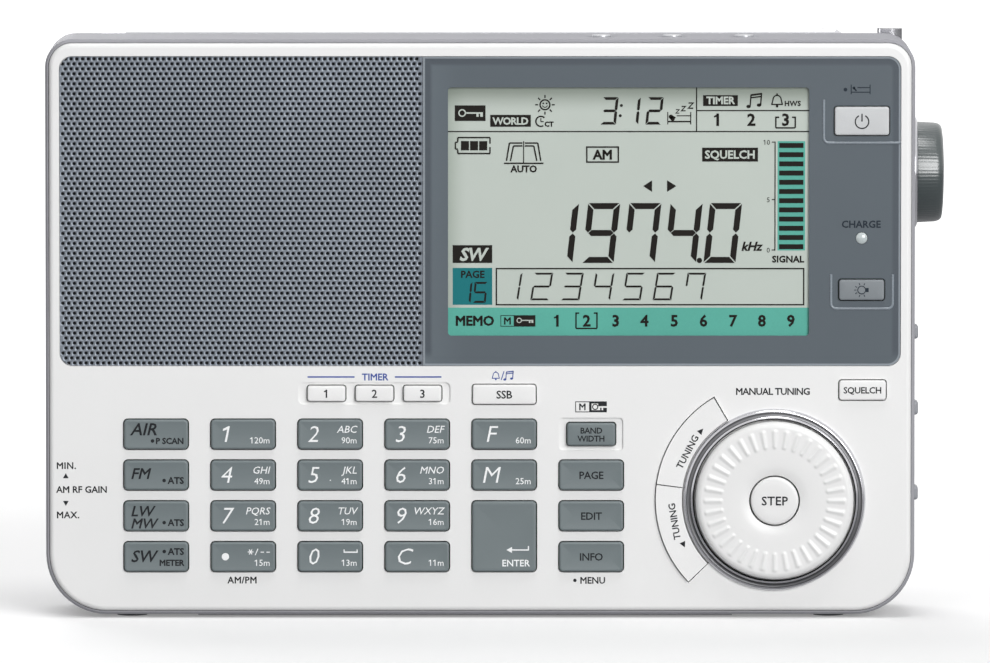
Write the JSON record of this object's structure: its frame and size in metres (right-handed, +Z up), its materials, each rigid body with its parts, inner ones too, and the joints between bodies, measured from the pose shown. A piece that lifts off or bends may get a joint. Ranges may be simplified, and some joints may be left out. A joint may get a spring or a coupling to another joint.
{
  "type": "shortwave receiver",
  "caption": "Portable world band radio with a keypad, display, tuning knob, side volume knob, press keys, folding stand and telescopic aerial that swings, lifts and slides.",
  "frame": {"origin": "under the centre of the bounding box, on the table plane", "axes": "+X to the right seen from the front, front face towards -Y, +Z up"},
  "size_m": [0.2072, 0.0414, 0.1343],
  "materials": {
    "panel_white": "fine satin",
    "shell_grey": "satin paint",
    "grille_metal": "satin, punched",
    "window_grey": "gloss",
    "lcd_glass": "matt display film",
    "chrome": "polished",
    "key_grey": "satin",
    "key_white": "satin",
    "key_pale": "satin",
    "key_mid": "satin",
    "lamp_lens": "clear gloss",
    "knob_white": "soft gloss",
    "knob_dark": "satin",
    "button_silver": "satin",
    "switch_grey": "satin",
    "stand_grey": "fine grain",
    "antenna_chrome": "polished",
    "speaker_steel": "painted",
    "board_green": "solder mask",
    "cell_jacket": "printed jacket",
    "socket_black": "satin",
    "screw_steel": "plated"
  },
  "bodies": {
    "cabinet": {"front_cabinet": "panel_white", "rear_cabinet": "shell_grey", "speaker_grille": "grille_metal", "display_window": "window_grey", "lcd_panel": "lcd_glass", "trim_rings": "chrome", "charge_led": "lamp_lens", "loudspeaker": "speaker_steel", "circuit_board": "board_green", "batteries": "cell_jacket", "sockets": "socket_black", "screws": "screw_steel"},
    "tuning_knob": {"tuning_knob": "knob_white"},
    "step_button": {"step_button": "knob_white"},
    "tuning_up_key": {"tuning_up_key": "key_white"},
    "tuning_down_key": {"tuning_down_key": "key_white"},
    "band_key_1": {"band_key_1": "key_grey"},
    "band_key_2": {"band_key_2": "key_grey"},
    "band_key_3": {"band_key_3": "key_grey"},
    "band_key_4": {"band_key_4": "key_grey"},
    "key_1": {"key_1": "key_grey"},
    "key_2": {"key_2": "key_grey"},
    "key_3": {"key_3": "key_grey"},
    "key_4": {"key_4": "key_grey"},
    "key_5": {"key_5": "key_grey"},
    "key_6": {"key_6": "key_grey"},
    "key_7": {"key_7": "key_grey"},
    "key_8": {"key_8": "key_grey"},
    "key_9": {"key_9": "key_grey"},
    "key_point": {"key_point": "key_grey"},
    "key_0": {"key_0": "key_grey"},
    "key_clear": {"key_clear": "key_grey"},
    "function_key": {"function_key": "key_grey"},
    "memory_key": {"memory_key": "key_grey"},
    "page_key": {"page_key": "key_grey"},
    "edit_key": {"edit_key": "key_grey"},
    "info_key": {"info_key": "key_grey"},
    "enter_key": {"enter_key": "key_grey"},
    "bandwidth_key": {"bandwidth_key": "key_grey"},
    "timer_key_1": {"timer_key_1": "key_white"},
    "timer_key_2": {"timer_key_2": "key_white"},
    "timer_key_3": {"timer_key_3": "key_white"},
    "ssb_key": {"ssb_key": "key_white"},
    "squelch_key": {"squelch_key": "key_white"},
    "power_key": {"power_key": "key_pale"},
    "light_key": {"light_key": "key_mid"},
    "top_button_1": {"top_button_1": "button_silver"},
    "top_button_2": {"top_button_2": "button_silver"},
    "top_button_3": {"top_button_3": "button_silver"},
    "volume_knob": {"volume_knob": "knob_dark"},
    "gain_wheel": {"gain_wheel": "knob_dark"},
    "side_switch_1": {"side_switch_1": "switch_grey"},
    "side_switch_2": {"side_switch_2": "switch_grey"},
    "side_switch_3": {"side_switch_3": "switch_grey"},
    "stand": {"stand": "stand_grey"},
    "battery_door": {"battery_door": "stand_grey"},
    "antenna_swivel": {"antenna_swivel": "antenna_chrome"},
    "antenna_base": {"antenna_base": "antenna_chrome"},
    "antenna_middle": {"antenna_middle": "antenna_chrome"},
    "antenna_tip": {"antenna_tip": "antenna_chrome"}
  },
  "joints": [
    {"name": "tuning_knob_turn", "type": "hinge", "parent": "cabinet", "child": "tuning_knob", "pos_m": [0.06415, -0.01665, 0.0274], "axis": [0, -1, 0], "continuous": true},
    {"name": "step_button_press", "type": "slide", "parent": "tuning_knob", "child": "step_button", "axis": [0, 1, 0], "range_m": [0, 0.0008], "stiffness_N_per_m": 1200},
    {"name": "tuning_up_key_press", "type": "slide", "parent": "cabinet", "child": "tuning_up_key", "axis": [0, 1, 0], "range_m": [0, 0.0008], "stiffness_N_per_m": 1200},
    {"name": "tuning_down_key_press", "type": "slide", "parent": "cabinet", "child": "tuning_down_key", "axis": [0, 1, 0], "range_m": [0, 0.0008], "stiffness_N_per_m": 1200},
    {"name": "band_key_1_press", "type": "slide", "parent": "cabinet", "child": "band_key_1", "axis": [0, 1, 0], "range_m": [0, 0.0008], "stiffness_N_per_m": 1200},
    {"name": "band_key_2_press", "type": "slide", "parent": "cabinet", "child": "band_key_2", "axis": [0, 1, 0], "range_m": [0, 0.0008], "stiffness_N_per_m": 1200},
    {"name": "band_key_3_press", "type": "slide", "parent": "cabinet", "child": "band_key_3", "axis": [0, 1, 0], "range_m": [0, 0.0008], "stiffness_N_per_m": 1200},
    {"name": "band_key_4_press", "type": "slide", "parent": "cabinet", "child": "band_key_4", "axis": [0, 1, 0], "range_m": [0, 0.0008], "stiffness_N_per_m": 1200},
    {"name": "key_1_press", "type": "slide", "parent": "cabinet", "child": "key_1", "axis": [0, 1, 0], "range_m": [0, 0.0008], "stiffness_N_per_m": 1200},
    {"name": "key_2_press", "type": "slide", "parent": "cabinet", "child": "key_2", "axis": [0, 1, 0], "range_m": [0, 0.0008], "stiffness_N_per_m": 1200},
    {"name": "key_3_press", "type": "slide", "parent": "cabinet", "child": "key_3", "axis": [0, 1, 0], "range_m": [0, 0.0008], "stiffness_N_per_m": 1200},
    {"name": "key_4_press", "type": "slide", "parent": "cabinet", "child": "key_4", "axis": [0, 1, 0], "range_m": [0, 0.0008], "stiffness_N_per_m": 1200},
    {"name": "key_5_press", "type": "slide", "parent": "cabinet", "child": "key_5", "axis": [0, 1, 0], "range_m": [0, 0.0008], "stiffness_N_per_m": 1200},
    {"name": "key_6_press", "type": "slide", "parent": "cabinet", "child": "key_6", "axis": [0, 1, 0], "range_m": [0, 0.0008], "stiffness_N_per_m": 1200},
    {"name": "key_7_press", "type": "slide", "parent": "cabinet", "child": "key_7", "axis": [0, 1, 0], "range_m": [0, 0.0008], "stiffness_N_per_m": 1200},
    {"name": "key_8_press", "type": "slide", "parent": "cabinet", "child": "key_8", "axis": [0, 1, 0], "range_m": [0, 0.0008], "stiffness_N_per_m": 1200},
    {"name": "key_9_press", "type": "slide", "parent": "cabinet", "child": "key_9", "axis": [0, 1, 0], "range_m": [0, 0.0008], "stiffness_N_per_m": 1200},
    {"name": "key_point_press", "type": "slide", "parent": "cabinet", "child": "key_point", "axis": [0, 1, 0], "range_m": [0, 0.0008], "stiffness_N_per_m": 1200},
    {"name": "key_0_press", "type": "slide", "parent": "cabinet", "child": "key_0", "axis": [0, 1, 0], "range_m": [0, 0.0008], "stiffness_N_per_m": 1200},
    {"name": "key_clear_press", "type": "slide", "parent": "cabinet", "child": "key_clear", "axis": [0, 1, 0], "range_m": [0, 0.0008], "stiffness_N_per_m": 1200},
    {"name": "function_key_press", "type": "slide", "parent": "cabinet", "child": "function_key", "axis": [0, 1, 0], "range_m": [0, 0.0008], "stiffness_N_per_m": 1200},
    {"name": "memory_key_press", "type": "slide", "parent": "cabinet", "child": "memory_key", "axis": [0, 1, 0], "range_m": [0, 0.0008], "stiffness_N_per_m": 1200},
    {"name": "page_key_press", "type": "slide", "parent": "cabinet", "child": "page_key", "axis": [0, 1, 0], "range_m": [0, 0.0008], "stiffness_N_per_m": 1200},
    {"name": "edit_key_press", "type": "slide", "parent": "cabinet", "child": "edit_key", "axis": [0, 1, 0], "range_m": [0, 0.0008], "stiffness_N_per_m": 1200},
    {"name": "info_key_press", "type": "slide", "parent": "cabinet", "child": "info_key", "axis": [0, 1, 0], "range_m": [0, 0.0008], "stiffness_N_per_m": 1200},
    {"name": "enter_key_press", "type": "slide", "parent": "cabinet", "child": "enter_key", "axis": [0, 1, 0], "range_m": [0, 0.0008], "stiffness_N_per_m": 1200},
    {"name": "bandwidth_key_press", "type": "slide", "parent": "cabinet", "child": "bandwidth_key", "axis": [0, 1, 0], "range_m": [0, 0.0008], "stiffness_N_per_m": 1200},
    {"name": "timer_key_1_press", "type": "slide", "parent": "cabinet", "child": "timer_key_1", "axis": [0, 1, 0], "range_m": [0, 0.0008], "stiffness_N_per_m": 1200},
    {"name": "timer_key_2_press", "type": "slide", "parent": "cabinet", "child": "timer_key_2", "axis": [0, 1, 0], "range_m": [0, 0.0008], "stiffness_N_per_m": 1200},
    {"name": "timer_key_3_press", "type": "slide", "parent": "cabinet", "child": "timer_key_3", "axis": [0, 1, 0], "range_m": [0, 0.0008], "stiffness_N_per_m": 1200},
    {"name": "ssb_key_press", "type": "slide", "parent": "cabinet", "child": "ssb_key", "axis": [0, 1, 0], "range_m": [0, 0.0008], "stiffness_N_per_m": 1200},
    {"name": "squelch_key_press", "type": "slide", "parent": "cabinet", "child": "squelch_key", "axis": [0, 1, 0], "range_m": [0, 0.0008], "stiffness_N_per_m": 1200},
    {"name": "power_key_press", "type": "slide", "parent": "cabinet", "child": "power_key", "axis": [0, 1, 0], "range_m": [0, 0.0008], "stiffness_N_per_m": 1200},
    {"name": "light_key_press", "type": "slide", "parent": "cabinet", "child": "light_key", "axis": [0, 1, 0], "range_m": [0, 0.0008], "stiffness_N_per_m": 1200},
    {"name": "top_button_1_press", "type": "slide", "parent": "cabinet", "child": "top_button_1", "axis": [0, 0, -1], "range_m": [0, 0.0008], "stiffness_N_per_m": 1200},
    {"name": "top_button_2_press", "type": "slide", "parent": "cabinet", "child": "top_button_2", "axis": [0, 0, -1], "range_m": [0, 0.0008], "stiffness_N_per_m": 1200},
    {"name": "top_button_3_press", "type": "slide", "parent": "cabinet", "child": "top_button_3", "axis": [0, 0, -1], "range_m": [0, 0.0008], "stiffness_N_per_m": 1200},
    {"name": "volume_knob_turn", "type": "hinge", "parent": "cabinet", "child": "volume_knob", "pos_m": [0.09645, 0.00205, 0.1018], "axis": [1, 0, 0], "range_deg": [-140, 140]},
    {"name": "gain_wheel_turn", "type": "hinge", "parent": "cabinet", "child": "gain_wheel", "pos_m": [-0.09395, -0.0046, 0.0298], "axis": [0, 1, 0], "range_deg": [-135, 135]},
    {"name": "side_switch_1_slide", "type": "slide", "parent": "cabinet", "child": "side_switch_1", "axis": [0, 1, 0], "range_m": [-0.002, 0.002]},
    {"name": "side_switch_2_slide", "type": "slide", "parent": "cabinet", "child": "side_switch_2", "axis": [0, 1, 0], "range_m": [-0.002, 0.002]},
    {"name": "side_switch_3_slide", "type": "slide", "parent": "cabinet", "child": "side_switch_3", "axis": [0, 1, 0], "range_m": [-0.002, 0.002]},
    {"name": "stand_fold", "type": "hinge", "parent": "cabinet", "child": "stand", "pos_m": [-0.00705, 0.01945, 0.0471], "axis": [1, 0, 0], "range_deg": [0, 60]},
    {"name": "battery_door_open", "type": "hinge", "parent": "cabinet", "child": "battery_door", "pos_m": [0.0332, 0.01955, 0.0934], "axis": [1, 0, 0], "range_deg": [0, 95]},
    {"name": "antenna_turn", "type": "hinge", "parent": "cabinet", "child": "antenna_swivel", "pos_m": [0.09145, 0.01635, 0.1308], "axis": [0, 0, 1], "range_deg": [-180, 0]},
    {"name": "antenna_raise", "type": "hinge", "parent": "antenna_swivel", "child": "antenna_base", "pos_m": [0.09145, 0.01635, 0.1308], "axis": [0, 1, 0], "range_deg": [0, 90]},
    {"name": "antenna_middle_slide", "type": "slide", "parent": "antenna_base", "child": "antenna_middle", "axis": [-1, 0, 0], "range_m": [0, 0.15]},
    {"name": "antenna_tip_slide", "type": "slide", "parent": "antenna_middle", "child": "antenna_tip", "axis": [-1, 0, 0], "range_m": [0, 0.15]}
  ]
}
